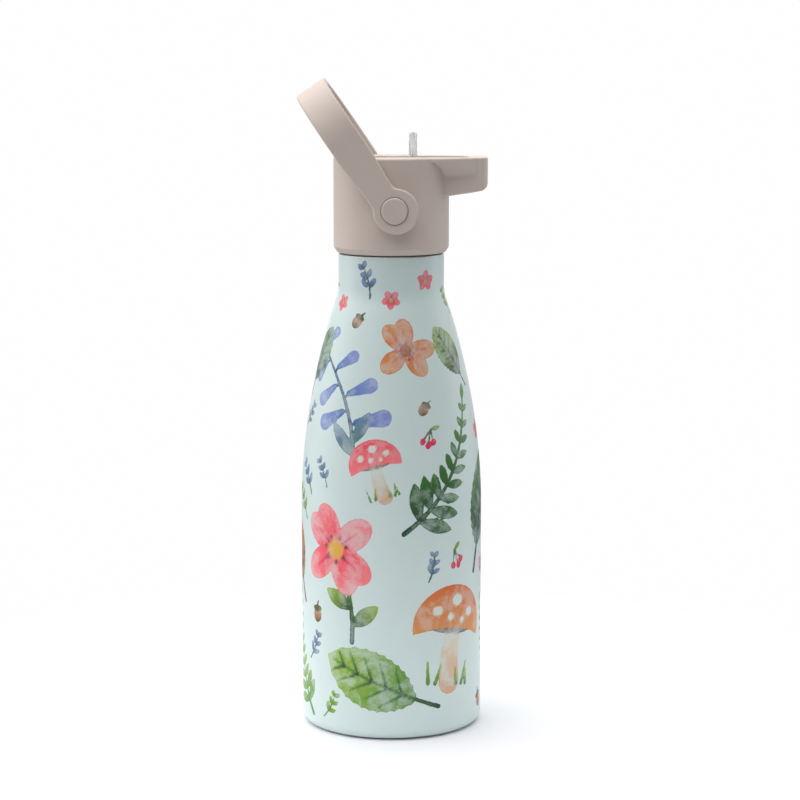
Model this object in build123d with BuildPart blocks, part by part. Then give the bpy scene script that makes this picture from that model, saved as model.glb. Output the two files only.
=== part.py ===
from build123d import *
import math
import os

os.makedirs("parts", exist_ok=True)

# Kids' insulated bottle with a screw-on straw lid, a swinging carry handle and a
# flip-up mouthpiece. Millimetres, +Z up, +X towards the beak of the lid, the handle
# turns about Y. The origin is the centre of the flat base.

# ---------------------------------------------------------------- bottle
body_r = 32.5            # outer radius of the straight wall
neck_r = 18.9            # outer radius of the neck
shell_t = 0.6            # steel thickness of both shells
lip_z = 170.8            # top of the mouth
corner_r = 3.2           # bottom corner of the outer shell
shell_bottom_z = 0.3     # the rolled edge stands just clear of the ground
base_inner_r = 27.0      # opening of the rolled edge, closed by the outer base
mouth_r = 16.5           # inner radius of the neck
vac_body = 2.9           # outer surface to inner flask's outer surface, body
vac_neck = 1.8           # the same in the neck
base_cover_r = 25.6
base_cover_t = 0.95

# shoulder: two cubic curves in (radius, height), meeting at the same slope
shoulder_a = [(32.5, 80.3), (32.5, 94.1), (31.0, 117.6), (21.6, 148.9)]
shoulder_b = [(21.6, 148.9), (20.1, 153.9), (18.9, 155.2), (18.9, 159.6)]

# ---------------------------------------------------------------- screw thread
thread_lead = 6.0        # rise for one turn, one start, right-handed
thread_half = 1.1        # half width of a thread ridge at its root
thread_tip = 0.55        # half width at its crest
female_z = 159.5         # height where the neck's ridge starts
female_turns = 1.25
female_crest_r = 15.1
male_z = 156.5           # height where the plug's ridge starts
male_turns = 1.9
male_crest_r = 16.1

# ---------------------------------------------------------------- lid
cap_r = 20.6
cap_bottom_z = 171.2
cap_top_z = 205.0
cap_cavity_r = 18.4
deck_t = 2.2
top_round = 0.7          # rounding of the deck's outer edge
plug_r = 14.7
plug_wall = 1.6
plug_bottom_z = 154.5
flange_z = 172.6
flange_t = 2.4
gasket_r_in = 14.8
gasket_r_out = 18.2
gasket_z0 = 170.9
gasket_z1 = 172.5

# beak: the tab that shields the folded mouthpiece
beak_tip = 34.4
beak_half = 8.7
beak_flare = 15.7
beak_arc_r = 24.3

# trough in the deck and beak
trough_half = 6.8
trough_front = 27.6
trough_back = -10.0
trough_floor = 194.4
trough_back_floor = 197.0

# flip-up mouthpiece
spout_x = 7.75
spout_z = 197.2
barrel_r = 4.4
barrel_half = 6.5
stub_r = 1.6
spout_top_z = 213.4

# straw
straw_r = 3.5
straw_bore_r = 2.7
straw_top_z = 162.8
straw_bottom_z = 9.5

# handle
pivot_x = 1.2
pivot_z = 187.0
handle_lean = 34.4       # degrees from upright, towards -X
arm_in = 21.3            # inner face of each arm
arm_out = 24.1           # outer face of each arm
handle_top = 52.0        # pivot to the outside of the bridge
bend_r = 21.0
eye_r = 7.95
pin_r = 2.8
pin_head_r = 4.7


def bezier(points, t):
    """A point of a cubic curve and its unit normal, which points outwards."""
    a, b, c, d = (1 - t) ** 3, 3 * (1 - t) ** 2 * t, 3 * (1 - t) * t * t, t**3
    r = a * points[0][0] + b * points[1][0] + c * points[2][0] + d * points[3][0]
    z = a * points[0][1] + b * points[1][1] + c * points[2][1] + d * points[3][1]
    e, g, h = 3 * (1 - t) ** 2, 6 * (1 - t) * t, 3 * t * t
    dr = e * (points[1][0] - points[0][0]) + g * (points[2][0] - points[1][0]) + h * (points[3][0] - points[2][0])
    dz = e * (points[1][1] - points[0][1]) + g * (points[2][1] - points[1][1]) + h * (points[3][1] - points[2][1])
    n = math.hypot(dr, dz)
    return (r, z), (dz / n, -dr / n)


def inside(low, high):
    """Shoulder points moved inwards by low at the body, changing to high at the neck."""
    out = []
    for curve, ts in ((shoulder_a, [i / 8 for i in range(9)]), (shoulder_b, [0.35, 0.7, 1.0])):
        for t in ts:
            (r, z), (nr, nz) = bezier(curve, t)
            share = (z - shoulder_a[0][1]) / (shoulder_b[3][1] - shoulder_a[0][1])
            d = low + (high - low) * share
            out.append((r - nr * d, z - nz * d))
    out[0] = (body_r - low, out[0][1])
    out[-1] = (neck_r - high, out[-1][1])
    return out


# ================================================================ bottle pieces

# outer shell: straight wall, shoulder and neck of the painted steel shell, with the
# bottom edge rolled in and the lip turned in over the mouth
inner_pts = inside(shell_t, shell_t)
with BuildPart() as outer_shell:
    with BuildSketch(Plane.XZ):
        with BuildLine():
            Line((base_inner_r, shell_bottom_z), (body_r - corner_r, shell_bottom_z))
            RadiusArc((body_r - corner_r, shell_bottom_z), (body_r, shell_bottom_z + corner_r), -corner_r)
            Line((body_r, shell_bottom_z + corner_r), shoulder_a[0])
            Bezier(*shoulder_a)
            Bezier(*shoulder_b)
            Line(shoulder_b[3], (neck_r, lip_z - 0.7))
            RadiusArc((neck_r, lip_z - 0.7), (neck_r - 0.7, lip_z), -0.7)
            Line((neck_r - 0.7, lip_z), (mouth_r + shell_t + 0.02, lip_z))
            Line((mouth_r + shell_t + 0.02, lip_z), (mouth_r + shell_t + 0.02, lip_z - shell_t))
            Line((mouth_r + shell_t + 0.02, lip_z - shell_t), (neck_r - shell_t, lip_z - shell_t))
            Line((neck_r - shell_t, lip_z - shell_t), inner_pts[-1])
            Spline(*reversed(inner_pts), tangents=[(0, -1), (0, -1)])
            Line(inner_pts[0], (body_r - shell_t, shell_bottom_z + corner_r))
            RadiusArc(
                (body_r - shell_t, shell_bottom_z + corner_r),
                (body_r - corner_r, shell_bottom_z + shell_t),
                corner_r - shell_t,
            )
            Line((body_r - corner_r, shell_bottom_z + shell_t), (base_inner_r, shell_bottom_z + shell_t))
            Line((base_inner_r, shell_bottom_z + shell_t), (base_inner_r, shell_bottom_z))
        make_face()
    revolve(axis=Axis.Z)

# outer base: pressed steel dish welded into the rolled edge, with a dimple over the
# hole through which the air was drawn out
with BuildPart() as outer_base:
    with BuildSketch(Plane.XZ):
        with BuildLine():
            Polyline(
                (0.8, 2.2), (4.2, 2.2), (5.4, 1.05), (25.75, 1.05), (25.75, 0.3), (base_inner_r - 0.02, 0.3),
                (base_inner_r - 0.02, 0.9), (26.4, 1.1), (26.1, 1.65), (5.7, 1.65), (4.5, 2.8), (0.8, 2.8), (0.8, 2.2),
            )
        make_face()
    revolve(axis=Axis.Z)

# sealing bead: plug of solder that closes the pump-out hole from below
with BuildPart() as sealing_bead:
    with BuildSketch(Plane.XZ):
        with BuildLine():
            Polyline((0, 1.25), (2.9, 1.25), (3.4, 2.15), (0.75, 2.18), (0.75, 2.7), (0, 2.85), (0, 1.25))
        make_face()
    revolve(axis=Axis.Z)

# base cover: flat disc glued into the outer base, the face the bottle stands on
with BuildPart() as base_cover:
    with Locations((0, 0, base_cover_t / 2)):
        Cylinder(base_cover_r, base_cover_t)
    fillet(base_cover.faces().sort_by(Axis.Z)[0].edges(), 0.3)

# inner flask: straight wall, shoulder and neck, with the rolled thread in the neck
flask_out = inside(vac_body, vac_neck)
flask_in = inside(vac_body + shell_t, vac_neck + shell_t)
flask_bottom_z = 11.0
with BuildPart() as inner_flask:
    with BuildSketch(Plane.XZ):
        with BuildLine():
            Line((body_r - vac_body - shell_t, flask_bottom_z), (body_r - vac_body, flask_bottom_z))
            Line((body_r - vac_body, flask_bottom_z), flask_out[0])
            Spline(*flask_out, tangents=[(0, 1), (0, 1)])
            Line(flask_out[-1], (neck_r - vac_neck, lip_z))
            Line((neck_r - vac_neck, lip_z), (mouth_r + 0.25, lip_z))
            Line((mouth_r + 0.25, lip_z), (mouth_r, lip_z - 0.3))
            Line((mouth_r, lip_z - 0.3), flask_in[-1])
            Spline(*reversed(flask_in), tangents=[(0, -1), (0, -1)])
            Line(flask_in[0], (body_r - vac_body - shell_t, flask_bottom_z))
        make_face()
    revolve(axis=Axis.Z)
    with BuildLine():
        neck_helix = Helix(thread_lead, thread_lead * female_turns, mouth_r, center=(0, 0, female_z))
    with BuildSketch(Plane(origin=neck_helix @ 0, x_dir=(1, 0, 0), z_dir=neck_helix % 0)):
        with BuildLine():
            Polyline(
                (0.3, -thread_half), (0.3, thread_half), (0, thread_half),
                (female_crest_r - mouth_r, thread_tip), (female_crest_r - mouth_r, -thread_tip),
                (0, -thread_half), (0.3, -thread_half),
            )
        make_face()
    sweep(path=neck_helix, is_frenet=True)

# inner base: pressed cup welded to the lower edge of the inner flask
ib_r = body_r - vac_body
with BuildPart() as inner_base:
    with BuildSketch(Plane.XZ):
        with BuildLine():
            Line((0, 6.1), (8.0, 6.0))
            Line((8.0, 6.0), (ib_r - 5.0, 5.2))
            RadiusArc((ib_r - 5.0, 5.2), (ib_r, 10.2), -5.0)
            Line((ib_r, 10.2), (ib_r, flask_bottom_z - 0.02))
            Line((ib_r, flask_bottom_z - 0.02), (ib_r - shell_t, flask_bottom_z - 0.02))
            Line((ib_r - shell_t, flask_bottom_z - 0.02), (ib_r - shell_t, 10.2))
            RadiusArc((ib_r - shell_t, 10.2), (ib_r - 5.0, 5.8), 4.4)
            Line((ib_r - 5.0, 5.8), (8.0, 6.6))
            Line((8.0, 6.6), (0, 6.7))
            Line((0, 6.7), (0, 6.1))
        make_face()
    revolve(axis=Axis.Z)

# getter: pressed pill in a spot-welded cup on the inside of the outer base
with BuildPart() as getter_cup:
    with Locations((14, 0, 1.65 + 0.9)):
        Cylinder(4.6, 1.8)
    with Locations((14, 0, 1.65 + 0.3 + 0.9)):
        Cylinder(4.1, 1.8, mode=Mode.SUBTRACT)

with BuildPart() as getter_pill:
    with Locations((14, 0, 1.97 + 0.9)):
        Cylinder(4.0, 1.8)
    chamfer(getter_pill.edges().filter_by(GeomType.CIRCLE), 0.25)

# ================================================================ lid pieces

# beak blank: plan outline, side outline and flared cross-section, each cutting the last
arc_x = math.sqrt((cap_r + beak_arc_r) ** 2 - (beak_half + beak_arc_r) ** 2)
touch = cap_r / (cap_r + beak_arc_r)
touch_x, touch_y = arc_x * touch, (beak_half + beak_arc_r) * touch
with BuildPart() as beak:
    with BuildSketch(Plane.XY.offset(188)):
        with BuildLine():
            Line((0, 14.0), (touch_x - 1.5, touch_y))
            Line((touch_x - 1.5, touch_y), (touch_x, touch_y))
            RadiusArc((touch_x, touch_y), (arc_x, beak_half), beak_arc_r)
            Line((arc_x, beak_half), (beak_tip - 3.2, beak_half))
            ThreePointArc((beak_tip - 3.2, beak_half), (beak_tip - 1.25, beak_half - 0.95), (beak_tip - 0.35, beak_half - 3.0))
            ThreePointArc((beak_tip - 0.35, beak_half - 3.0), (beak_tip, 0), (beak_tip - 0.35, 3.0 - beak_half))
            ThreePointArc((beak_tip - 0.35, 3.0 - beak_half), (beak_tip - 1.25, 0.95 - beak_half), (beak_tip - 3.2, -beak_half))
            Line((beak_tip - 3.2, -beak_half), (arc_x, -beak_half))
            RadiusArc((arc_x, -beak_half), (touch_x, -touch_y), beak_arc_r)
            Line((touch_x, -touch_y), (touch_x - 1.5, -touch_y))
            Line((touch_x - 1.5, -touch_y), (0, -14.0))
            Line((0, -14.0), (0, 14.0))
        make_face()
    extrude(amount=cap_top_z - 188)
    fillet(beak.faces().sort_by(Axis.Z)[-1].edges().filter_by(lambda e: e.center().X > 1.0), top_round)
    with BuildSketch(Plane.XZ):
        with BuildLine():
            Line((10, cap_top_z + 1), (10, 190.5))
            Line((10, 190.5), (16.6, 190.86))
            Line((16.6, 190.86), (28.0, 192.5))
            Line((28.0, 192.5), (31.4, 193.1))
            ThreePointArc((31.4, 193.1), (33.55, 194.3), (34.45, 196.6))
            Line((34.45, 196.6), (34.6, cap_top_z + 1))
            Line((34.6, cap_top_z + 1), (10, cap_top_z + 1))
        make_face()
    extrude(amount=20, both=True, mode=Mode.INTERSECT)
    with BuildSketch(Plane.YZ):
        with BuildLine():
            Line((-beak_half, 188), (beak_half, 188))
            Line((beak_half, 188), (beak_half, 197.6))
            Spline((beak_half, 197.6), (9.2, 199.2), (10.7, 200.9), (12.9, 202.6), (beak_flare, cap_top_z - 1.0), tangents=[(0, 1), (1, 0.5)])
            Line((beak_flare, cap_top_z - 1.0), (beak_flare, cap_top_z + 1))
            Line((beak_flare, cap_top_z + 1), (-beak_flare, cap_top_z + 1))
            Line((-beak_flare, cap_top_z + 1), (-beak_flare, cap_top_z - 1.0))
            Spline((-beak_flare, cap_top_z - 1.0), (-12.9, 202.6), (-10.7, 200.9), (-9.2, 199.2), (-beak_half, 197.6), tangents=[(1, -0.5), (0, -1)])
            Line((-beak_half, 197.6), (-beak_half, 188))
        make_face()
    extrude(amount=40, mode=Mode.INTERSECT)
    keel = beak.edges().filter_by_position(Axis.Z, 190.0, 196.7)
    fillet([e for e in keel if abs(abs(e.center().Y) - beak_half) < 0.02 and abs(e.tangent_at(0.5).Z) < 0.5 and e.center().Z < 193.5 or e.geom_type == GeomType.BSPLINE and e.center().Z < 196.5], 0.9)

# cap shell: round cap with the beak, the open trough for the mouthpiece and the two
# bosses that carry the handle's pins; hollow from below
with BuildPart() as cap_shell:
    with BuildSketch(Plane.XZ):
        with BuildLine():
            Polyline((0, cap_top_z), (0, cap_bottom_z), (cap_r - 1.3, cap_bottom_z), (cap_r, cap_bottom_z + 1.9), (cap_r, cap_top_z - top_round))
            RadiusArc((cap_r, cap_top_z - top_round), (cap_r - top_round, cap_top_z), -top_round)
            Line((cap_r - top_round, cap_top_z), (0, cap_top_z))
        make_face()
    revolve(axis=Axis.Z)
    add(beak.part)
    with Locations((0, 0, (cap_bottom_z + cap_top_z - deck_t) / 2)):
        Cylinder(cap_cavity_r, cap_top_z - deck_t - cap_bottom_z, mode=Mode.SUBTRACT)
    # walls and floor of the trough inside the cap
    with Locations((8.4, 0, (190.2 + 203.2) / 2)):
        Box(20.8, 2 * (trough_half + 2.0), 13.0)
    with Locations((-7.0, 0, (194.9 + 203.2) / 2)):
        Box(10.2, 2 * (trough_half + 2.0), 8.3)
    # bosses for the handle's pins, outside and inside the wall
    for side in (-1, 1):
        with BuildSketch(Plane(origin=(pivot_x, side * 21.0, pivot_z), x_dir=(1, 0, 0), z_dir=(0, -side, 0))):
            Circle(7.2)
        extrude(amount=2.2)
        with BuildSketch(Plane(origin=(pivot_x, side * 19.5, pivot_z), x_dir=(1, 0, 0), z_dir=(0, -side, 0))):
            Circle(4.8)
        extrude(amount=4.3)
        with BuildSketch(Plane(origin=(pivot_x, side * 22.0, pivot_z), x_dir=(1, 0, 0), z_dir=(0, -side, 0))):
            Circle(pin_r + 0.02)
        extrude(amount=7.0, mode=Mode.SUBTRACT)
    # the trough
    with BuildSketch(Plane.XY.offset(trough_floor)):
        with Locations(((3.3 + trough_front) / 2, 0)):
            RectangleRounded(trough_front - 3.3, 2 * trough_half, 2.5)
        with Locations((6.0, 0)):
            Rectangle(5.4, 2 * trough_half)
    extrude(amount=12, mode=Mode.SUBTRACT)
    with BuildSketch(Plane.XY.offset(trough_back_floor)):
        with Locations(((trough_back + 6.0) / 2, 0)):
            RectangleRounded(6.0 - trough_back, 2 * trough_half, 2.5)
    extrude(amount=12, mode=Mode.SUBTRACT)
    with Locations(Location((spout_x, 0, spout_z), (90, 0, 0))):
        Cylinder(barrel_r + 0.4, 2 * trough_half, mode=Mode.SUBTRACT)
        Cylinder(stub_r + 0.06, 20, mode=Mode.SUBTRACT)
    with Locations((spout_x, 0, 192)):
        Cylinder(4.15, 6, mode=Mode.SUBTRACT)
    with Locations((-7.5, 0, 196)):
        Cylinder(1.1, 6, mode=Mode.SUBTRACT)
    rim = cap_shell.edges().filter_by_position(Axis.Z, cap_top_z - 0.01, cap_top_z + 0.01)
    fillet([e for e in rim if abs(e.center().Y) < trough_half + 0.1 and trough_back - 0.1 < e.center().X < trough_front + 0.1], 0.45)

# threaded plug: hollow stopper with a flange, the socket for the straw and a vent tube
with BuildPart() as threaded_plug:
    with BuildSketch(Plane.XZ):
        with BuildLine():
            Polyline(
                (0, plug_bottom_z), (plug_r - 0.6, plug_bottom_z), (plug_r, plug_bottom_z + 0.6), (plug_r, flange_z),
                (cap_cavity_r - 0.02, flange_z), (cap_cavity_r - 0.02, flange_z + flange_t),
                (plug_r - plug_wall, flange_z + flange_t), (plug_r - plug_wall, plug_bottom_z + 2.0),
                (0, plug_bottom_z + 2.0), (0, plug_bottom_z),
            )
        make_face()
    revolve(axis=Axis.Z)
    with Locations((spout_x, 0, (149.5 + 190.15) / 2)):
        Cylinder(5.2, 190.15 - 149.5)
    with Locations((-7.5, 0, (156.0 + 194.85) / 2)):
        Cylinder(2.9, 194.85 - 156.0)
    with Locations((spout_x, 0, 170)):
        Cylinder(straw_bore_r, 60, mode=Mode.SUBTRACT)
    with Locations((spout_x, 0, (149 + 163) / 2)):
        Cylinder(straw_r + 0.03, 14, mode=Mode.SUBTRACT)
    with Locations((-7.5, 0, 175)):
        Cylinder(1.1, 60, mode=Mode.SUBTRACT)
    with Locations((-7.5, 0, (153 + 160.2) / 2)):
        Cylinder(2.0, 7.2, mode=Mode.SUBTRACT)
    with BuildLine():
        plug_helix = Helix(thread_lead, thread_lead * male_turns, plug_r, center=(0, 0, male_z))
    with BuildSketch(Plane(origin=plug_helix @ 0, x_dir=(1, 0, 0), z_dir=plug_helix % 0)):
        with BuildLine():
            Polyline(
                (-0.4, -thread_half), (0, -thread_half), (male_crest_r - plug_r, -thread_tip),
                (male_crest_r - plug_r, thread_tip), (0, thread_half), (-0.4, thread_half), (-0.4, -thread_half),
            )
        make_face()
    sweep(path=plug_helix, is_frenet=True)

# insulation core: foam plug that fills the stopper
with BuildPart() as insulation_core:
    with Locations((0, 0, (156.6 + 175.1) / 2)):
        Cylinder(12.95, 175.1 - 156.6)
    with Locations((0, 0, (175.1 + 181.5) / 2)):
        Cylinder(17.2, 181.5 - 175.1)
    with Locations((spout_x, 0, 170)):
        Cylinder(5.3, 60, mode=Mode.SUBTRACT)
    with Locations((-7.5, 0, 170)):
        Cylinder(3.0, 60, mode=Mode.SUBTRACT)

# lid gasket: flat silicone ring between the stopper's flange and the lip
with BuildPart() as lid_gasket:
    with Locations((0, 0, (gasket_z0 + gasket_z1) / 2)):
        Cylinder(gasket_r_out, gasket_z1 - gasket_z0)
        Cylinder(gasket_r_in, gasket_z1 - gasket_z0, mode=Mode.SUBTRACT)
    fillet(lid_gasket.edges().filter_by(GeomType.CIRCLE), 0.3)

# port seal: silicone seat under the mouthpiece's barrel, hollowed to the barrel's curve
with BuildPart() as port_seal:
    with Locations((spout_x, 0, (190.2 + 194.3) / 2)):
        Cylinder(4.1, 194.3 - 190.2)
    with Locations(Location((spout_x, 0, spout_z), (90, 0, 0))):
        Cylinder(barrel_r + 0.1, 20, mode=Mode.SUBTRACT)
    with Locations((spout_x, 0, 192)):
        Cylinder(2.2, 10, mode=Mode.SUBTRACT)

# vent valve: silicone duckbill that lets air in as the child drinks
with BuildPart() as vent_valve:
    with BuildSketch(Plane(origin=(-7.5, 0, 0), x_dir=(1, 0, 0), z_dir=(0, -1, 0))):
        with BuildLine():
            Polyline(
                (0, 154.0), (0.7, 153.6), (3.2, 153.6), (3.2, plug_bottom_z - 0.02), (1.95, plug_bottom_z - 0.02),
                (1.95, 156.9), (0.5, 159.6), (0, 159.6), (0, 154.0),
            )
        make_face()
    revolve(axis=Axis((-7.5, 0, 0), (0, 0, 1)))

# straw: clear tube pushed into the stopper's socket, cut slantwise at its foot
with BuildPart() as straw:
    with BuildSketch(Plane.XY.offset(straw_bottom_z)):
        with Locations((spout_x, 0)):
            Circle(straw_r)
            Circle(straw_bore_r, mode=Mode.SUBTRACT)
    extrude(amount=straw_top_z - straw_bottom_z)
    with BuildSketch(Plane.XZ):
        with BuildLine():
            Polyline((spout_x - 6, straw_bottom_z - 2), (spout_x + 6, straw_bottom_z - 2), (spout_x + 6, straw_bottom_z + 8), (spout_x - 6, straw_bottom_z - 2))
        make_face()
    extrude(amount=6, both=True, mode=Mode.SUBTRACT)

# handle pins: a flat head in the arm's recess and a shank pressed into the cap's boss
with BuildPart() as pivot_pin_left:
    with BuildSketch(Plane(origin=(pivot_x, -17.6, pivot_z), x_dir=(1, 0, 0), z_dir=(0, -1, 0))):
        Circle(pin_r)
    extrude(amount=5.4)
    with BuildSketch(Plane(origin=(pivot_x, -23.0, pivot_z), x_dir=(1, 0, 0), z_dir=(0, -1, 0))):
        Circle(pin_head_r)
    extrude(amount=1.8)
    fillet(pivot_pin_left.faces().sort_by(Axis.Y)[0].edges(), 0.7)

with BuildPart() as pivot_pin_right:
    with BuildSketch(Plane(origin=(pivot_x, 17.6, pivot_z), x_dir=(1, 0, 0), z_dir=(0, 1, 0))):
        Circle(pin_r)
    extrude(amount=5.4)
    with BuildSketch(Plane(origin=(pivot_x, 23.0, pivot_z), x_dir=(1, 0, 0), z_dir=(0, 1, 0))):
        Circle(pin_head_r)
    extrude(amount=1.8)
    fillet(pivot_pin_right.faces().sort_by(Axis.Y)[-1].edges(), 0.7)

# ================================================================ handle
lean = math.radians(handle_lean)
side_plane = Plane(origin=(pivot_x, 0, pivot_z), x_dir=(math.cos(lean), 0, math.sin(lean)), z_dir=(0, -1, 0))
front_plane = Plane(origin=(pivot_x, 0, pivot_z), x_dir=(0, 1, 0), z_dir=(math.cos(lean), 0, math.sin(lean)))
with BuildPart() as handle:
    # seen from the side: a straight arm with a round eye
    with BuildSketch(side_plane) as arm_outline:
        with BuildLine():
            Line((-5.75, 4.0), (-5.75, 9.0))
            Spline((-5.75, 9.0), (-6.05, 14.5), (-6.5, 22.0), (-6.6, 30.0), tangents=[(0, 1), (0, 1)])
            Line((-6.6, 30.0), (-6.6, handle_top))
            Line((-6.6, handle_top), (5.2, handle_top))
            Line((5.2, handle_top), (5.2, 28.0))
            Spline((5.2, 28.0), (5.1, 20.0), (4.65, 13.5), (4.45, 9.0), tangents=[(0, -1), (0, -1)])
            Line((4.45, 9.0), (4.45, 4.0))
            Line((4.45, 4.0), (-5.75, 4.0))
        make_face()
        with Locations((0.35, -0.4)):
            Circle(eye_r)
        fillet(arm_outline.vertices().filter_by_position(Axis.Y, 4.5, 8.5), 3.0)
    extrude(amount=arm_out, both=True)
    # seen from the front: a hoop with round shoulders
    with BuildSketch(front_plane) as hoop:
        with BuildLine():
            Line((-arm_out, -12), (-arm_out, handle_top - bend_r))
            RadiusArc((-arm_out, handle_top - bend_r), (-arm_out + bend_r, handle_top), bend_r)
            Line((-arm_out + bend_r, handle_top), (arm_out - bend_r, handle_top))
            RadiusArc((arm_out - bend_r, handle_top), (arm_out, handle_top - bend_r), bend_r)
            Line((arm_out, handle_top - bend_r), (arm_out, -12))
            Line((arm_out, -12), (arm_in, -12))
            Line((arm_in, -12), (arm_in, handle_top - bend_r))
            RadiusArc((arm_in, handle_top - bend_r), (arm_out - bend_r, handle_top - 2.8), -(bend_r - 2.8))
            Line((arm_out - bend_r, handle_top - 2.8), (-arm_out + bend_r, handle_top - 2.8))
            RadiusArc((-arm_out + bend_r, handle_top - 2.8), (-arm_in, handle_top - bend_r), -(bend_r - 2.8))
            Line((-arm_in, handle_top - bend_r), (-arm_in, -12))
            Line((-arm_in, -12), (-arm_out, -12))
        make_face()
    extrude(amount=12, both=True, mode=Mode.INTERSECT)
    # soft edges all along the strap
    across = (Vector(0, 1, 0), side_plane.x_dir)
    fillet(
        [e for e in handle.edges() if e.geom_type != GeomType.LINE or all(abs(e.tangent_at(0.5).dot(a)) < 0.99 for a in across)],
        0.7,
    )
    # holes for the pins, with a recess for each head
    for side in (-1, 1):
        with BuildSketch(Plane(origin=(pivot_x, side * 20.0, pivot_z), x_dir=(1, 0, 0), z_dir=(0, side, 0))):
            Circle(pin_r + 0.05)
        extrude(amount=6, mode=Mode.SUBTRACT)
        with BuildSketch(Plane(origin=(pivot_x, side * 22.8, pivot_z), x_dir=(1, 0, 0), z_dir=(0, side, 0))):
            Circle(pin_head_r + 0.2)
        extrude(amount=3, mode=Mode.SUBTRACT)

# ================================================================ flip-up mouthpiece

# barrel: turns in the trough on two stubs; its bore lines up with the straw only when
# the mouthpiece stands up
with BuildPart() as spout_barrel:
    with Locations(Location((spout_x, 0, spout_z), (90, 0, 0))):
        Cylinder(barrel_r, 2 * barrel_half)
        Cylinder(stub_r, 2 * 8.6)
    with BuildSketch(Plane.XY.offset(spout_z)):
        with Locations((spout_x, 0)):
            RectangleRounded(2.0, 7.0, 0.6)
    extrude(amount=7.1)
    with BuildSketch(Plane.XY.offset(spout_z - 6)):
        with Locations((spout_x, 0)):
            Circle(2.0)
    extrude(amount=8, mode=Mode.SUBTRACT)
    with BuildSketch(Plane.XY.offset(spout_z)):
        with Locations((spout_x, 0)):
            Rectangle(0.9, 4.4)
    extrude(amount=10, mode=Mode.SUBTRACT)

# mouthpiece: soft flattened spout pushed over the barrel's spigot
with BuildPart() as mouthpiece:
    with BuildSketch(Plane.XY.offset(200.9)):
        with Locations((spout_x, 0)):
            Ellipse(2.4, 5.3)
    with BuildSketch(Plane.XY.offset(202.6)):
        with Locations((spout_x, 0)):
            Ellipse(1.66, 5.05)
    with BuildSketch(Plane.XY.offset(spout_top_z)):
        with Locations((spout_x, 0)):
            Ellipse(1.45, 4.8)
    loft(ruled=True)
    fillet(mouthpiece.faces().sort_by(Axis.Z)[-1].edges(), 0.3)
    with Locations(Location((spout_x, 0, spout_z), (90, 0, 0))):
        Cylinder(barrel_r + 0.02, 20, mode=Mode.SUBTRACT)
    with BuildSketch(Plane.XY.offset(spout_z)):
        with Locations((spout_x, 0)):
            RectangleRounded(2.04, 7.04, 0.62)
    extrude(amount=7.14, mode=Mode.SUBTRACT)
    with BuildSketch(Plane.XY.offset(spout_z)):
        with Locations((spout_x, 0)):
            SlotOverall(5.4, 0.9, rotation=90)
    extrude(amount=20, mode=Mode.SUBTRACT)

# ================================================================ output
nodes = {
    "outer_shell": outer_shell,
    "outer_base": outer_base,
    "sealing_bead": sealing_bead,
    "base_cover": base_cover,
    "inner_flask": inner_flask,
    "inner_base": inner_base,
    "getter_cup": getter_cup,
    "getter_pill": getter_pill,
    "cap_shell": cap_shell,
    "threaded_plug": threaded_plug,
    "insulation_core": insulation_core,
    "lid_gasket": lid_gasket,
    "port_seal": port_seal,
    "vent_valve": vent_valve,
    "straw": straw,
    "pivot_pin_left": pivot_pin_left,
    "pivot_pin_right": pivot_pin_right,
    "handle": handle,
    "spout_barrel": spout_barrel,
    "mouthpiece": mouthpiece,
}
for name, built in nodes.items():
    built.part.label = name
    export_step(built.part, "parts/" + name + ".step")
    print(name, round(built.part.volume, 1), len(built.part.solids()))
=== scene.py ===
import math

import bpy
import numpy as np
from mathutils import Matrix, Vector


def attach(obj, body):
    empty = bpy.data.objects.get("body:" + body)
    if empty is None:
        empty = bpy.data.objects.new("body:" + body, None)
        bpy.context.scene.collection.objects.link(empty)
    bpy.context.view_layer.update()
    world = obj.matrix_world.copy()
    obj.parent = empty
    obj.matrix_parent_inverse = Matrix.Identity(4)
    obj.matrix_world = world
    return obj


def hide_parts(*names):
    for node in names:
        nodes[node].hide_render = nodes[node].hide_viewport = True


# Kids' insulated bottle. Metres, +Z up, +X towards the beak of the lid, the side that
# carries the handle's visible pin faces -Y, where the camera stands.

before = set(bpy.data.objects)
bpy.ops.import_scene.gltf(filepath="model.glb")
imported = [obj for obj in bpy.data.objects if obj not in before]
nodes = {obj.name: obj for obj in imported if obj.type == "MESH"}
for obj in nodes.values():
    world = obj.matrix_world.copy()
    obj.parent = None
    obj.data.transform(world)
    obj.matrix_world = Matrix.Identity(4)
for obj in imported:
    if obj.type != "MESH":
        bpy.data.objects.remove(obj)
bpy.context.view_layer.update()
MM = 0.001
scene = bpy.context.scene


def linear(rgb):
    """Colour numbers from 0 to 255, as a screen shows them, in linear light."""
    c = np.asarray(rgb, float) / 255
    return np.where(c <= 0.04045, c / 12.92, ((c + 0.055) / 1.055) ** 2.4)


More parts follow.
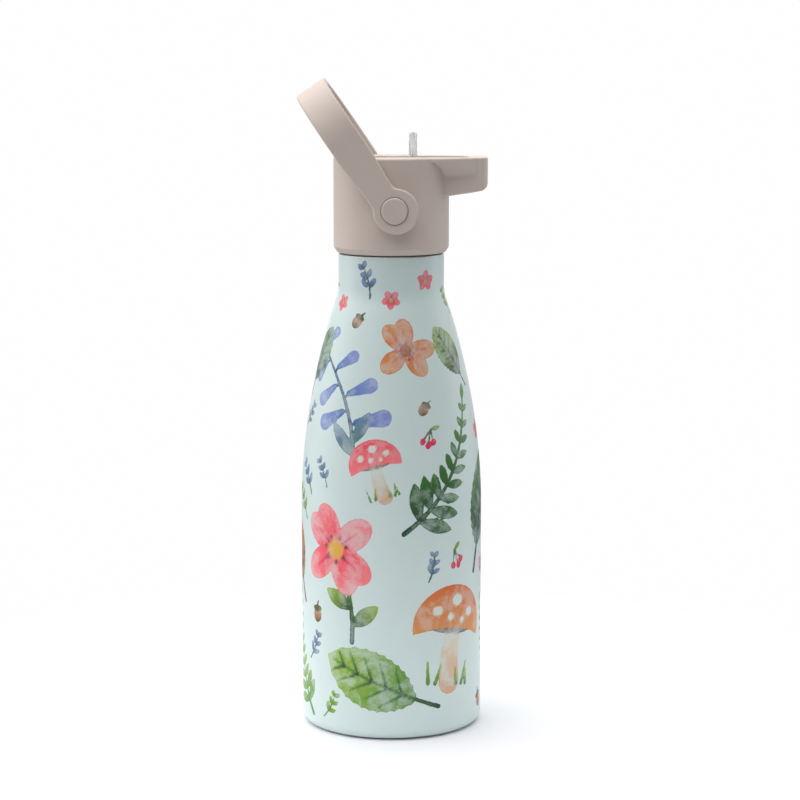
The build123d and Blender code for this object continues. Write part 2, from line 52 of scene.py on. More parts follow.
# ---------------------------------------------------------------- material graphs
class Graph:
    """A node material built from its Principled shader backwards."""

    def __init__(self, name):
        self.material = bpy.data.materials.new(name)
        self.material.use_nodes = True
        self.tree = self.material.node_tree
        self.shader = self.tree.nodes["Principled BSDF"]
        self.coord = self.tree.nodes.new("ShaderNodeTexCoord").outputs["Object"]

    def put(self, socket, value):
        if isinstance(value, bpy.types.NodeSocket):
            self.tree.links.new(value, socket)
        elif isinstance(value, (tuple, list, np.ndarray)):
            value = [float(v) for v in value]
            socket.default_value = value + [1.0] if len(value) == 3 and len(socket.default_value) == 4 else value
        else:
            socket.default_value = value

    def shade(self, **values):
        for name, value in values.items():
            self.put(self.shader.inputs[name.replace("_", " ")], value)

    def math(self, kind, a, b=0.0, c=None, clamp=False):
        n = self.tree.nodes.new("ShaderNodeMath")
        n.operation, n.use_clamp = kind, clamp
        self.put(n.inputs[0], a)
        self.put(n.inputs[1], b)
        if c is not None:
            self.put(n.inputs[2], c)
        return n.outputs[0]

    def stretch(self, x, y, z):
        """The object's coordinates, scaled: how many features fit in a metre each way."""
        n = self.tree.nodes.new("ShaderNodeMapping")
        self.put(n.inputs["Vector"], self.coord)
        n.inputs["Scale"].default_value = (x, y, z)
        return n.outputs[0]

    def noise(self, size_mm, detail=2.0, rough=0.5, where=None, distortion=0.0):
        """Noise from 0 to 1 with features of that size."""
        n = self.tree.nodes.new("ShaderNodeTexNoise")
        self.put(n.inputs["Vector"], self.coord if where is None else where)
        n.inputs["Scale"].default_value = 1000.0 / size_mm if where is None else 1.0
        n.inputs["Detail"].default_value = detail
        n.inputs["Roughness"].default_value = rough
        n.inputs["Distortion"].default_value = distortion
        return n.outputs["Fac"]

    def cells(self, size_mm, feature="F1"):
        n = self.tree.nodes.new("ShaderNodeTexVoronoi")
        n.feature = feature
        self.put(n.inputs["Vector"], self.coord)
        n.inputs["Scale"].default_value = 1000.0 / size_mm
        return n.outputs["Distance"]

    def span(self, value, a, b, c=0.0, d=1.0, smooth=True):
        """value from a to b becomes c to d, held at both ends."""
        n = self.tree.nodes.new("ShaderNodeMapRange")
        n.interpolation_type = "SMOOTHSTEP" if smooth else "LINEAR"
        n.clamp = True
        for i, v in enumerate((value, a, b, c, d)):
            self.put(n.inputs[i], v)
        return n.outputs[0]

    def mix(self, share, a, b, kind="MIX"):
        n = self.tree.nodes.new("ShaderNodeMix")
        n.data_type, n.blend_type, n.clamp_factor = "RGBA", kind, True
        self.put(n.inputs[0], share)
        self.put(n.inputs[6], a)
        self.put(n.inputs[7], b)
        return n.outputs[2]

    def attribute(self, name, output="Fac"):
        n = self.tree.nodes.new("ShaderNodeAttribute")
        n.attribute_type, n.attribute_name = "GEOMETRY", name
        return n.outputs[output]

    def part(self, axis):
        n = self.tree.nodes.new("ShaderNodeSeparateXYZ")
        self.put(n.inputs[0], self.coord)
        return n.outputs[axis]

    def bump(self, height, strength, depth_mm):
        n = self.tree.nodes.new("ShaderNodeBump")
        n.inputs["Strength"].default_value = strength
        n.inputs["Distance"].default_value = depth_mm * MM
        self.put(n.inputs["Height"], height)
        self.put(self.shader.inputs["Normal"], n.outputs[0])


def moulded(name, light, dark, rough=0.5, grain_mm=0.34, depth=0.03, sheen=0.0):
    """Moulded plastic with a fine spark-eroded grain and slow, faint colour drift."""
    g = Graph(name)
    drift = g.noise(9.0, 3.0)
    grain = g.noise(grain_mm, 3.0, 0.6)
    g.shade(
        Base_Color=g.mix(g.math("MULTIPLY_ADD", grain, 0.35, g.math("MULTIPLY", drift, 0.65)), linear(dark), linear(light)),
        Roughness=g.span(g.noise(3.0, 3.0), 0.3, 0.7, rough - 0.035, rough + 0.05),
        IOR=1.47,
        Sheen_Weight=sheen,
        Sheen_Roughness=0.4,
    )
    g.bump(grain, 0.6, depth)
    return g.material


def steel(name, way, tint=(196, 196, 194), rough=0.3):
    """Stainless steel with drawing or spinning lines."""
    g = Graph(name)
    lines = g.noise(1.0, 4.0, 0.65, g.stretch(*way))
    cloud = g.noise(14.0, 2.0)
    g.shade(
        Base_Color=g.mix(lines, linear([c * 0.86 for c in tint]), linear(tint)),
        Metallic=1.0,
        Roughness=g.math("ADD", g.span(lines, 0.3, 0.7, rough - 0.07, rough + 0.08), g.math("MULTIPLY", cloud, 0.06)),
    )
    g.bump(lines, 0.35, 0.02)
    return g.material


def silicone(name, colour, rough=0.32, through=0.45):
    g = Graph(name)
    haze = g.noise(2.2, 3.0)
    g.shade(
        Base_Color=g.mix(haze, linear(colour), linear([min(255, c + 7) for c in colour])),
        Roughness=g.span(haze, 0.3, 0.7, rough - 0.05, rough + 0.07),
        IOR=1.41,
        Transmission_Weight=through,
        Subsurface_Weight=0.12,
        Subsurface_Scale=0.001,
    )
    g.bump(g.noise(0.3, 2.0), 0.3, 0.015)
    return g.material


# ---------------------------------------------------------------- printed shell
body_r, neck_r, wall = 32.5, 18.9, 0.6
lip_z, mouth_r, corner_r, foot_z, foot_r = 170.8, 16.5, 3.2, 0.3, 27.0
shoulder = (
    ((32.5, 80.3), (32.5, 94.1), (31.0, 117.6), (21.6, 148.9)),
    ((21.6, 148.9), (20.1, 153.9), (18.9, 155.2), (18.9, 159.6)),
)
ROUND = 360


def curve(points, t):
    t, p = float(t), [Vector(q) for q in points]
    at = (1 - t) ** 3 * p[0] + 3 * (1 - t) ** 2 * t * p[1] + 3 * (1 - t) * t * t * p[2] + t**3 * p[3]
    run = (1 - t) ** 2 * (p[1] - p[0]) + 2 * (1 - t) * t * (p[2] - p[1]) + t * t * (p[3] - p[2])
    return at, run.normalized()


def even(points, step):
    """A polyline divided evenly, close to that step in mm."""
    p = np.array(points, float)
    along = np.concatenate([[0], np.cumsum(np.hypot(*np.diff(p, axis=0).T))])
    n = max(1, round(along[-1] / step))
    at = np.linspace(0, along[-1], n + 1)
    return np.stack([np.interp(at, along, p[:, 0]), np.interp(at, along, p[:, 1])], 1)


def shell_profile():
    """The shell's section in mm as one closed loop: foot, wall, shoulder, neck, lip, and back down inside."""
    bend = [(body_r - corner_r + corner_r * math.sin(a), foot_z + corner_r - corner_r * math.cos(a)) for a in np.linspace(0, math.pi / 2, 9)]
    side = [(body_r, z) for z in np.linspace(foot_z + corner_r, 80.3, 60)]
    top = [tuple(curve(c, t)[0]) for c in shoulder for t in np.linspace(0, 1, 400)]
    outer = even(side + top[1:], 0.745)
    neck = [(neck_r, z) for z in np.linspace(159.6, lip_z - 0.7, 10)][1:]
    lip = [(neck_r - 0.7 + 0.7 * math.cos(a), lip_z - 0.7 + 0.7 * math.sin(a)) for a in np.linspace(0, math.pi / 2, 5)][1:]
    turned = [(mouth_r + wall + 0.02, lip_z), (mouth_r + wall + 0.02, lip_z - wall), (neck_r - wall, lip_z - wall)]
    back = []
    for c, ts in ((shoulder[1], (1.0, 0.66, 0.33, 0.0)), (shoulder[0], np.linspace(0.9, 0, 10))):
        for t in ts:
            at, run = curve(c, t)
            back.append((at.x - run.y * wall, at.y + run.x * wall))
    r = corner_r - wall
    inner_bend = [(body_r - corner_r + r * math.sin(a), foot_z + corner_r - r * math.cos(a)) for a in np.linspace(math.pi / 2, 0, 5)]
    out = [(foot_r, foot_z)] + bend + [tuple(p) for p in outer[1:]] + neck + lip + turned + back + inner_bend + [(foot_r, foot_z + wall)]
    return np.array(out), len(bend) + len(outer) + len(neck) + len(lip)


profile, painted_rows = shell_profile()
theta = np.linspace(-math.pi, math.pi, ROUND, endpoint=False)
rows = len(profile)
r_grid = np.repeat(profile[:, 0], ROUND)
z_grid = np.repeat(profile[:, 1], ROUND)
t_grid = np.tile(theta, rows)
run = np.concatenate([[0], np.cumsum(np.hypot(*np.diff(profile, axis=0).T))])
straight = int(np.argmax(profile[:, 1] >= foot_z + corner_r))
s_row = run - run[straight] + profile[straight, 1]  # equals the height up the straight wall
s_grid = np.repeat(s_row, ROUND)


class Printed:
    """Painted motifs on the shell: how far inside a motif each vertex lies, in mm, and its ink."""

    def __init__(self):
        n = len(r_grid)
        self.edge = np.full(n, -4.0)
        self.ink = np.tile(linear((120, 140, 110)), (n, 1))
        self.tone = np.full(n, 0.7)
        self.live = s_grid < s_row[painted_rows - 1]

    def motif(self, degrees, height, turn=0.0, size=1.0, reach=26.0):
        """Local coordinates around a point of the shell. 0 degrees faces -Y and positive goes towards +X."""
        centre = math.radians(degrees - 90)
        around = (t_grid - centre + math.pi) % (2 * math.pi) - math.pi
        x, y = around * r_grid, s_grid - height
        self.at = np.nonzero(self.live & (np.abs(x) < reach * size) & (np.abs(y) < reach * size))[0]
        a = math.radians(turn)
        x, y = x[self.at] / size, y[self.at] / size
        self.x, self.y = x * math.cos(a) + y * math.sin(a), y * math.cos(a) - x * math.sin(a)
        self.size = size

    def paint(self, inside, ink, tone=0.8, ink2=None, along=None, soft=0.55):
        """Adds a shape over the others. inside is in mm, positive within it."""
        d = inside * self.size
        old = self.edge[self.at]
        over = np.clip(0.5 + d / soft, 0, 1)
        over = np.where(old > 0, over * over * (3 - 2 * over), (d > old).astype(float))[:, None]
        c = np.tile(linear(ink), (len(d), 1))
        if ink2 is not None:
            c = c + (linear(ink2) - c) * np.clip(along, 0, 1)[:, None]
        self.ink[self.at] = self.ink[self.at] * (1 - over) + c * over
        self.tone[self.at] = self.tone[self.at] * (1 - over[:, 0]) + tone * over[:, 0]
        self.edge[self.at] = np.maximum(old, d)

    # shapes: each returns the distance inside and the share of the way along
    def leaf(self, a, b, half):
        a, b = np.array(a, float), np.array(b, float)
        mid, r = (a + b) / 2, np.hypot(*(b - a)) / 2
        u = (b - a) / (2 * r)
        t = (self.x - mid[0]) * u[0] + (self.y - mid[1]) * u[1]
        n = np.abs((self.y - mid[1]) * u[0] - (self.x - mid[0]) * u[1])
        big = (r * r + half * half) / (2 * half)
        return big - np.hypot(t, n + big - half), (t / r + 1) / 2

    def stroke(self, a, b, r0, r1):
        a, b = np.array(a, float), np.array(b, float)
        d = b - a
        t = np.clip(((self.x - a[0]) * d[0] + (self.y - a[1]) * d[1]) / max(d @ d, 1e-9), 0, 1)
        return r0 + (r1 - r0) * t - np.hypot(self.x - a[0] - t * d[0], self.y - a[1] - t * d[1]), t

    def stem(self, points, r0, r1, steps=12):
        """A tapering stroke along a quadratic curve."""
        p = [np.array(q, float) for q in points]
        ts = np.linspace(0, 1, steps + 1)
        at = [(1 - t) ** 2 * p[0] + 2 * t * (1 - t) * p[1] + t * t * p[2] for t in ts]
        best, share = np.full(len(self.x), -9.0), np.zeros(len(self.x))
        for i in range(steps):
            d, t = self.stroke(at[i], at[i + 1], r0 + (r1 - r0) * ts[i], r0 + (r1 - r0) * ts[i + 1])
            share = np.where(d > best, (i + t) / steps, share)
            best = np.maximum(best, d)
        return best, share

    def oval(self, c, rx, ry, turn=0.0):
        a = math.radians(turn)
        x, y = self.x - c[0], self.y - c[1]
        x, y = x * math.cos(a) + y * math.sin(a), y * math.cos(a) - x * math.sin(a)
        k = np.hypot(x / rx, y / ry)
        k2 = np.hypot(x / rx**2, y / ry**2)
        return np.where(k2 > 1e-6, k * (1 - k) / np.maximum(k2, 1e-6), min(rx, ry)), (y / ry + 1) / 2


def at_curve(points, t):
    p = [np.array(q, float) for q in points]
    at = (1 - t) ** 2 * p[0] + 2 * t * (1 - t) * p[1] + t * t * p[2]
    d = 2 * (1 - t) * (p[1] - p[0]) + 2 * t * (p[2] - p[1])
    return at, math.atan2(d[1], d[0])


DARK_GREEN, LEAF, LIME, OLIVE = (24, 66, 46), (78, 138, 46), (156, 186, 52), (88, 84, 38)
CORAL, PINK, ROSE = (248, 62, 88), (252, 132, 138), (206, 58, 104)
ORANGE, TAN, BROWN, CREAM = (222, 108, 40), (222, 148, 84), (92, 56, 36), (240, 224, 192)
BLUE, LAVENDER, SLATE = (78, 116, 182), (138, 152, 210), (48, 64, 76)


def fern(p, place, ink=DARK_GREEN, tip=LEAF, bend=7.0, length=36.0, pairs=9, wide=9.0):
    p.motif(*place)
    line = ((0, -length / 2), (bend, 0), (-bend * 0.2, length / 2))
    d, t = p.stem(line, 0.62, 0.34)
    p.paint(d, ink, 0.95, tip, t)
    for i in range(pairs):
        t = 0.12 + 0.80 * i / (pairs - 1)
        at, way = at_curve(line, t)
        long = wide * (1 - 0.72 * t) * (0.75 + 0.25 * math.sin(math.pi * min(1, t * 3)))
        for side in (1, -1):
            a = way + side * math.radians(58 - 16 * t)
            end = at + long * np.array([math.cos(a), math.sin(a)])
            d, u = p.leaf(at, end, 0.165 * long + 0.22)
            p.paint(d, ink, 0.9 if side > 0 else 0.72, tip, 0.55 * t + 0.5 * u)
    at, way = at_curve(line, 1.0)
    d, u = p.leaf(at - 0.5 * np.array([math.cos(way), math.sin(way)]), at + 3.6 * np.array([math.cos(way), math.sin(way)]), 0.95)
    p.paint(d, tip, 0.8)


def broad_leaf(p, place, ink=LEAF, tip=LIME, vein=DARK_GREEN, long=27.0, half=7.6):
    p.motif(*place)
    blade, t = p.leaf((0, -long / 2), (0, long / 2), half)
    notch = 0.55 * np.abs(np.sin((p.y + 0.45 * np.abs(p.x)) * 1.35))
    p.paint(blade - notch * np.clip(1 - blade / 2.2, 0, 1), ink, 0.72, tip, t)
    d, t = p.stem(((0.6, -long / 2 - 6), (0, -long / 2 + 2), (0, long / 2 - 2.5)), 0.6, 0.32)
    p.paint(d, vein, 1.0, ink, t)
    for i in range(5):
        y = -long / 2 + 4.4 + i * 4.1
        for side in (1, -1):
            d, t = p.stroke((0, y), (side * half * (0.72 - 0.05 * i), y + 4.3), 0.36, 0.2)
            p.paint(np.minimum(d, blade - 0.9), vein, 0.95, ink, t)


def flower(p, place, ink=CORAL, tip=PINK, heart=(232, 176, 74), petals=6, radius=11.0, stalk=True):
    p.motif(*place)
    if stalk:
        line = ((0, -2), (2.4, -12), (-1.0, -22))
        d, t = p.stem(line, 0.5, 0.6)
        p.paint(d, LEAF, 0.85, DARK_GREEN, t)
        for t, side in ((0.62, 1), (0.82, -1)):
            at, way = at_curve(line, t)
            a = way + math.pi + side * 0.9
            d, u = p.leaf(at, at + 8.2 * np.array([math.cos(a), math.sin(a)]), 1.9)
            p.paint(d, DARK_GREEN, 0.8, LIME, u)
    for i in range(petals):
        a = 2 * math.pi * (i + 0.3 * math.sin(2.1 * i)) / petals + 0.4
        way = np.array([math.cos(a), math.sin(a)])
        d, _ = p.oval(way * radius * 0.55, radius * 0.47, radius * 0.315, math.degrees(a))
        u = (p.x * way[0] + p.y * way[1]) / radius
        p.paint(d, ink, 0.82 if i % 2 else 0.68, tip, u)
        d, t = p.stroke(way * radius * 0.22, way * radius * 0.66, 0.38, 0.2)
        p.paint(d, ROSE, 0.85, ink, t)
    d, _ = p.oval((0, 0), radius * 0.2, radius * 0.2)
    p.paint(d, heart, 0.95)
    for i in range(7):
        a = 2 * math.pi * i / 7
        d, _ = p.oval((radius * 0.27 * math.cos(a), radius * 0.27 * math.sin(a)), 0.5, 0.5)
        p.paint(d, BROWN, 0.8)


def mushroom(p, place, cap=ORANGE, edge=TAN, size=1.0):
    p.motif(*place)
    d, t = p.stem(((0.4, 1.5), (-0.6, -4.5), (0.6, -10.5)), 1.9, 2.7)
    p.paint(d, TAN, 0.42, CREAM, 1 - t)
    d, _ = p.oval((0, 1.2), 6.6, 1.7)
    p.paint(d, BROWN, 0.6)
    dome, t = p.oval((0, 1.2), 9.6, 8.6)
    d = np.minimum(dome, p.y - 0.6 + 0.02 * p.x**2)
    p.paint(d, edge, 0.9, cap, t * 1.7 - 0.7)
    for x, y, r in ((-4.4, 4.2, 1.15), (0.6, 6.6, 1.35), (4.9, 4.0, 1.05), (-0.9, 3.0, 0.8), (2.6, 2.4, 0.6)):
        d, _ = p.oval((x, y), r, r * 0.85)
        p.paint(d, CREAM, 0.12)
    for i, x in enumerate((-4.6, -2.9, 2.6, 4.2, 5.6)):
        d, t = p.stroke((x, -11.0), (x + (0.9 if i % 2 else -0.7), -6.4 - 0.7 * (i % 3)), 0.5, 0.24)
        p.paint(d, LEAF, 0.8, LIME, t)


def bells(p, place, ink=BLUE, tip=LAVENDER, count=7, length=32.0):
    p.motif(*place)
    line = ((-1.5, -length / 2), (5.0, 0), (-3.0, length / 2))
    d, t = p.stem(line, 0.6, 0.34)
    p.paint(d, SLATE, 0.7, ink, t)
    for i in range(count):
        t = 0.30 + 0.68 * i / (count - 1)
        at, way = at_curve(line, t)
        side = 1 if i % 2 else -1
        long = 6.9 * (1.15 - 0.55 * t)
        a = way + side * math.radians(76)
        foot = at + 1.7 * np.array([math.cos(a), math.sin(a)])
        d, u = p.stroke(at, foot, 0.4, 0.35)
        p.paint(d, SLATE, 0.7)
        b = a + side * 0.35
        end = foot + long * np.array([math.cos(b), math.sin(b)])
        d, u = p.stroke(foot, end, long * 0.13, long * 0.33)
        p.paint(d, ink, 0.85, tip, u * 1.15)
        d, u = p.stroke(foot, end, 0.2, 0.34)
        p.paint(d, ink, 0.7, LAVENDER, u)
    for t, side, long in ((0.06, 1, 11.0), (0.16, -1, 9.0)):
        at, way = at_curve(line, t)
        a = way + side * 0.6
        d, u = p.leaf(at, at + long * np.array([math.cos(a), math.sin(a)]), 1.7)
        p.paint(d, (86, 128, 120), 0.75, LAVENDER, u * 0.6)


def blossom(p, place, ink=CORAL, tip=PINK, petals=5, radius=3.0):
    p.motif(*place)
    for i in range(petals):
        a = 2 * math.pi * i / petals + 0.3
        way = np.array([math.cos(a), math.sin(a)])
        d, _ = p.oval(way * radius * 0.6, radius * 0.46, radius * 0.36, math.degrees(a))
        p.paint(d, ink, 0.9, tip, (p.x * way[0] + p.y * way[1]) / radius)
    d, _ = p.oval((0, 0), radius * 0.22, radius * 0.22)
    p.paint(d, (226, 168, 60), 0.9)


def berries(p, place, ink=ROSE, tip=CORAL):
    p.motif(*place)
    for x, y in ((-1.9, -1.7), (0.4, -2.6), (2.2, -1.0)):
        d, t = p.stem(((x, y), (0.3 * x, 0.8), (0.4, 2.8)), 0.3, 0.36)
        p.paint(d, OLIVE, 0.85)
        d, t = p.oval((x, y - 0.6), 1.15, 1.25)
        p.paint(d, ink, 0.95, tip, t)
    d, u = p.leaf((0.4, 2.6), (3.8, 4.3), 0.85)
    p.paint(d, LEAF, 0.85, LIME, u)


def seed(p, place, ink=BROWN, tip=TAN):
    p.motif(*place)
    d, t = p.oval((0, -0.6), 1.9, 2.4)
    p.paint(d, ink, 0.75, tip, t)
    d, _ = p.oval((0, 1.3), 2.1, 0.95)
    p.paint(d, OLIVE, 0.9)
    d, _ = p.stroke((0, 2.0), (0.5, 3.5), 0.38, 0.32)
    p.paint(d, BROWN, 0.8)


def sprig(p, place, ink=LEAF, tip=LIME, pairs=3, long=12.0):
    p.motif(*place)
    line = ((0, -long / 2), (1.6, 0), (0, long / 2))
    d, t = p.stem(line, 0.42, 0.3)
    p.paint(d, ink, 0.85)
    for i in range(pairs):
        at, way = at_curve(line, 0.3 + 0.6 * i / max(pairs - 1, 1))
        for side in (1, -1):
            a = way + side * 0.75
            d, u = p.leaf(at, at + (4.4 - 0.7 * i) * np.array([math.cos(a), math.sin(a)]), 1.0)
            p.paint(d, ink, 0.8, tip, u)


print_ = Printed()
# large motifs: (degrees round from the front, height up the wall, turn, size)
flower(print_, (-37, 68, 14, 1.52))
fern(print_, (34.5, 97, -34, 1.5), wide=10.5)
mushroom(print_, (42, 38, -8, 1.72))
bells(print_, (-38, 120, 24, 1.42))
broad_leaf(print_, (-14, 22, 66, 1.42))
broad_leaf(print_, (80, 84, -20, 1.42), DARK_GREEN, LEAF, SLATE)
flower(print_, (12, 139, -20, 1.02), ORANGE, TAN, (176, 84, 40), petals=5, stalk=False)
mushroom(print_, (-10, 98, 16, 1.02), CORAL, PINK)
fern(print_, (-72, 26, 20, 1.2), LEAF, LIME, -6)
fern(print_, (93, 27, 28, 1.1), LEAF, LIME, -6)
bells(print_, (118, 62, -14, 1.4))
mushroom(print_, (110, 124, 14, 1.12), CORAL, PINK)
flower(print_, (164, 88, -6, 1.36), ORANGE, TAN, (180, 96, 60))
fern(print_, (-174, 38, 40, 1.1))
broad_leaf(print_, (136, 20, -70, 1.1), OLIVE, LIME, BROWN)
bells(print_, (-168, 128, -18, 1.2), ROSE, PINK)
mushroom(print_, (-142, 74, 8, 1.5), TAN, CREAM)
flower(print_, (-112, 106, 12, 1.2), BLUE, LAVENDER, (236, 200, 110))
broad_leaf(print_, (-88, 66, 24, 1.2), (128, 88, 48), ORANGE, BROWN, 25.0, 7.0)
broad_leaf(print_, (-128, 24, 70, 1.25))
broad_leaf(print_, (-74, 136, -20, 0.85), DARK_GREEN, LEAF, SLATE)
broad_leaf(print_, (54, 138, 30, 0.8), DARK_GREEN, LIME, SLATE)
fern(print_, (154, 136, 30, 0.9), DARK_GREEN, LEAF, 5)
flower(print_, (-124, 144, 0, 0.8), CORAL, PINK, petals=5, stalk=False)
# small motifs in the gaps between them, clear of a plain patch on the front
dice = np.random.default_rng(4)
placed = 0
for _ in range(2600):
    degrees, height = dice.uniform(-180, 180), dice.uniform(9, 164)
    turn, big = dice.uniform(-40, 40), dice.uniform(0.95, 1.35)
    around = ((t_grid - math.radians(degrees - 90) + math.pi) % (2 * math.pi) - math.pi) * r_grid
    near = print_.live & (np.hypot(around, s_grid - height) < 6.4)
    if print_.edge[near].max() > -1.0 or math.hypot(degrees * 0.567 / 15, (height - 57) / 15) < 1:
        continue
    spot, kind = (degrees, height, turn, big), placed % 5
    placed += 1
    if kind == 0:
        berries(print_, spot)
    elif kind == 1:
        sprig(print_, (*spot[:3], 0.8 * big))
    elif kind == 2:
        seed(print_, spot)
    elif kind == 3:
        blossom(print_, spot, ROSE, PINK)
    else:
        sprig(print_, (*spot[:3], 0.8 * big), (66, 108, 108), LAVENDER)


def painted_shell():
    mesh = bpy.data.meshes.new("printed_shell")
    co = np.stack([r_grid * np.cos(t_grid), r_grid * np.sin(t_grid), z_grid], 1) * MM
    i = np.arange(rows)[:, None]
    j = np.arange(ROUND)[None, :]
    i2, j2 = (i + 1) % rows, (j + 1) % ROUND
    quads = np.stack([i * ROUND + j, i * ROUND + j2, i2 * ROUND + j2, i2 * ROUND + j], -1).reshape(-1, 4)
    mesh.from_pydata(co.tolist(), [], quads.tolist())
    mesh.polygons.foreach_set("use_smooth", np.ones(len(mesh.polygons), bool))
    for name, kind, field, values in (
        ("print_edge", "FLOAT", "value", print_.edge),
        ("print_tone", "FLOAT", "value", print_.tone),
        ("print_ink", "FLOAT_VECTOR", "vector", print_.ink.ravel()),
    ):
        mesh.attributes.new(name, kind, "POINT").data.foreach_set(field, values.astype(np.float32))
    # the rolled lip is left bare
    bare = np.repeat(np.arange(rows) >= painted_rows - 4, ROUND) & np.repeat(np.arange(rows) < rows - 7, ROUND)
    slots = np.where(bare, 1, 0).astype(np.int32)
    mesh.polygons.foreach_set("material_index", slots)
    mesh.update()
    sharp = mesh.attributes.new("sharp_edge", "BOOLEAN", "EDGE")
    corner = {painted_rows - 1, painted_rows, painted_rows + 1, painted_rows + 2, 0, rows - 1}
    ends = np.zeros(len(mesh.edges) * 2, np.int32)
    mesh.edges.foreach_get("vertices", ends)
    ends = ends.reshape(-1, 2) // ROUND
    sharp.data.foreach_set("value", (ends[:, 0] == ends[:, 1]) & np.isin(ends[:, 0], list(corner)))
    ob = bpy.data.objects.new("printed_shell", mesh)
    scene.collection.objects.link(ob)
    return ob


def coat():
    """Satin powder coat with watercolour motifs printed into it."""
    g = Graph("powder_coat")
    mottle = g.noise(7.0, 3.0, 0.55)
    peel = g.noise(0.62, 2.0, 0.5)
    ground = g.mix(mottle, linear((209, 225, 222)), linear((215, 230, 228)))
    ground = g.mix(g.math("MULTIPLY", g.span(g.noise(0.45, 1.0), 0.62, 0.78), 0.25), ground, linear((195, 212, 209)))
    # wavering edge, a darker rim where the pigment settled, blooms and paper grain inside
    edge = g.math("ADD", g.attribute("print_edge"), g.math("MULTIPLY", g.math("SUBTRACT", g.noise(1.5, 3.0, 0.6), 0.5), 0.62))
    mask = g.span(edge, -0.06, 0.14)
    rim = g.math("SUBTRACT", 1.0, g.span(edge, 0.05, 0.62))
    bloom = g.span(g.noise(6.5, 3.0, 0.6, distortion=0.4), 0.36, 0.66, -0.17, 0.3)
    grain = g.math("MULTIPLY", g.math("SUBTRACT", g.noise(0.5, 2.0), 0.5), 0.5)
    depth = g.math("ADD", g.math("ADD", g.attribute("print_tone"), bloom), g.math("MULTIPLY_ADD", rim, 0.22, grain), clamp=True)
    ink = g.attribute("print_ink", "Vector")
    washed = g.mix(depth, ground, g.mix(0.16, ink, g.mix(1.0, ground, ink, "MULTIPLY")))
    g.shade(
        Base_Color=g.mix(mask, ground, washed),
        Roughness=g.math("ADD", g.span(g.noise(5.0, 2.0), 0.3, 0.7, 0.37, 0.43), g.math("MULTIPLY", mask, -0.03)),
        IOR=1.5,
    )
    g.bump(g.math("MULTIPLY_ADD", mask, 0.12, peel), 0.35, 0.018)
    return g.material


shell = painted_shell()
neck_steel = steel("neck_steel", (60.0, 60.0, 2400.0))
shell.data.materials.append(coat())
shell.data.materials.append(neck_steel)
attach(shell, "flask")
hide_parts("outer_shell")

# ---------------------------------------------------------------- finishes of the other pieces
lid_beige = moulded("lid_plastic", (216, 201, 190), (209, 193, 182), 0.5)
finishes = {
    "cap_shell": lid_beige,
    "handle": moulded("handle_plastic", (216, 201, 190), (209, 192, 181), 0.46),
    "pivot_pin_left": moulded("pin_plastic", (215, 199, 189), (207, 190, 180), 0.4, 0.3, 0.02),
    "spout_barrel": moulded("barrel_plastic", (209, 194, 184), (200, 184, 173), 0.42, 0.3, 0.02),
    "threaded_plug": moulded("plug_plastic", (226, 222, 214), (214, 210, 202), 0.38, 0.4, 0.02),
    "mouthpiece": silicone("mouth_silicone", (244, 246, 248), 0.16, 0.8),
    "lid_gasket": silicone("seal_silicone", (228, 230, 230), 0.4, 0.2),
    "straw": silicone("straw_clear", (236, 240, 242), 0.16, 0.8),
    "inner_flask": steel("flask_steel", (60.0, 60.0, 900.0), rough=0.34),
    "outer_base": steel("base_steel", (700.0, 700.0, 60.0), rough=0.32),
    "base_cover": moulded("base_disc", (150, 156, 157), (136, 142, 144), 0.62, 0.6, 0.05),
    "sealing_bead": steel("solder", (260.0, 260.0, 260.0), (150, 150, 150), 0.5),
    "getter_pill": steel("getter", (900.0, 900.0, 900.0), (120, 118, 116), 0.6),
}
foam = Graph("foam")
cells = foam.cells(0.9)
foam.shade(Base_Color=foam.mix(foam.span(cells, 0.1, 0.7), linear((226, 224, 216)), linear((244, 243, 238))), Roughness=0.85)
foam.bump(cells, 0.6, 0.12)
finishes["insulation_core"] = foam.material
for node, other in (
    ("pivot_pin_right", "pivot_pin_left"), ("port_seal", "lid_gasket"), ("vent_valve", "lid_gasket"),
    ("inner_base", "inner_flask"), ("getter_cup", "outer_base"),
):
    finishes[node] = finishes[other]
for name, material in finishes.items():
    slots = nodes[name].data.materials
    if not len(slots):
        slots.append(material)
    for i in range(len(slots)):
        slots[i] = material

# ---------------------------------------------------------------- floor, light, camera
floor_mesh = bpy.data.meshes.new("studio_floor")
floor_mesh.from_pydata([(0.21 * math.cos(math.radians(5 * i)), 0.21 * math.sin(math.radians(5 * i)), 0) for i in range(72)], [], [tuple(range(72))])
floor = bpy.data.objects.new("studio_floor", floor_mesh)
scene.collection.objects.link(floor)
white = Graph("studio_white")
white.shade(Base_Color=white.mix(white.noise(60.0), (0.82, 0.815, 0.84), (0.84, 0.835, 0.86)), Roughness=0.9)
floor_mesh.materials.append(white.material)

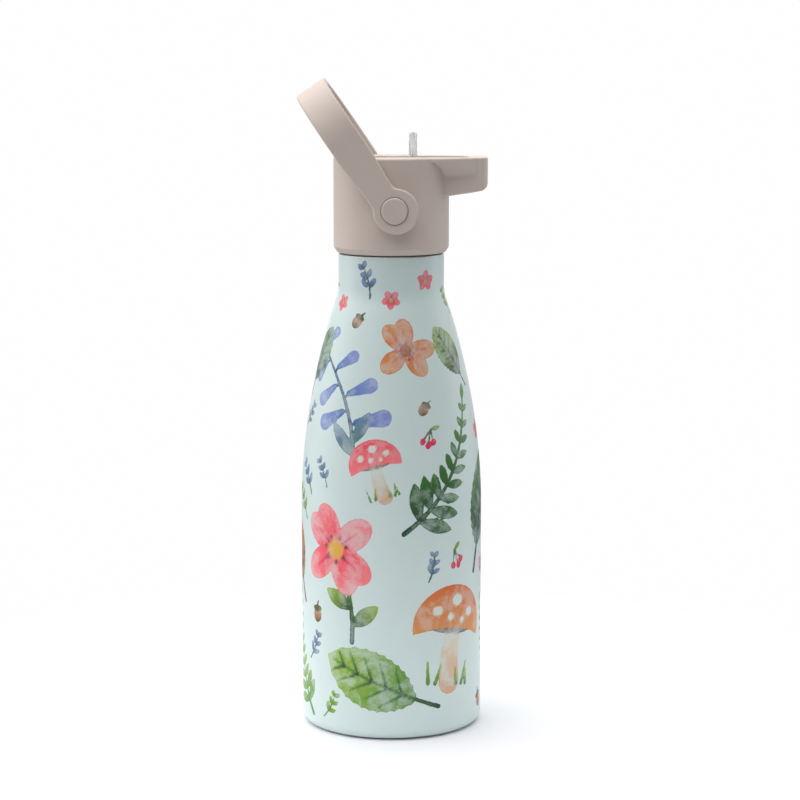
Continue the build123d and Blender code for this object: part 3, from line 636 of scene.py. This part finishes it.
world = bpy.data.worlds.new("studio")
scene.world = world
world.use_nodes = True
tree = world.node_tree
back = tree.nodes["Background"]
seen = tree.nodes.new("ShaderNodeBackground")
seen.inputs["Color"].default_value = (1.0, 0.995, 1.0, 1.0)
back.inputs["Color"].default_value = (0.93, 0.97, 1.0, 1.0)
back.inputs["Strength"].default_value = 0.3
which = tree.nodes.new("ShaderNodeMixShader")
path = tree.nodes.new("ShaderNodeLightPath")
tree.links.new(path.outputs["Is Camera Ray"], which.inputs[0])
tree.links.new(back.outputs[0], which.inputs[1])
tree.links.new(seen.outputs[0], which.inputs[2])
tree.links.new(which.outputs[0], tree.nodes["World Output"].inputs["Surface"])


def softbox(name, at, look, width, height, watts, colour=(1, 1, 1)):
    light = bpy.data.lights.new(name, "AREA")
    light.shape, light.size, light.size_y = "RECTANGLE", width, height
    light.energy, light.color = watts, colour
    ob = bpy.data.objects.new(name, light)
    ob.location = at
    ob.rotation_euler = (Vector(look) - Vector(at)).to_track_quat("-Z", "Y").to_euler()
    scene.collection.objects.link(ob)
    return ob


sky = bpy.data.lights.new("overhead", "SUN")
sky.energy, sky.angle = 3.2, math.radians(100)
overhead = bpy.data.objects.new("overhead", sky)
overhead.rotation_euler = Vector((0.25, -0.02, -1.0)).to_track_quat("-Z", "Y").to_euler()
scene.collection.objects.link(overhead)
backdrop = softbox("backdrop", (0, 1.4, 0.6), (0, 0, 0.6), 2.2, 1.2, 7.0)
backdrop.visible_camera = False
softbox("left", (-1.0, 0.25, 0.35), (0, 0, 0.12), 0.9, 0.9, 3.2)
softbox("right", (1.0, 0.45, 0.35), (0, 0, 0.12), 0.7, 0.9, 2.4)

camera_data = bpy.data.cameras.new("camera")
camera_data.sensor_width = 36.0
camera_data.lens = 107.1
camera_data.clip_start, camera_data.clip_end = 0.05, 40.0
camera = bpy.data.objects.new("camera", camera_data)
camera.location = (0.00312, -0.850, 0.240)
camera.rotation_euler = (math.radians(81.8), 0.0, 0.0)
scene.collection.objects.link(camera)
scene.camera = camera
scene.view_settings.view_transform = "Standard"
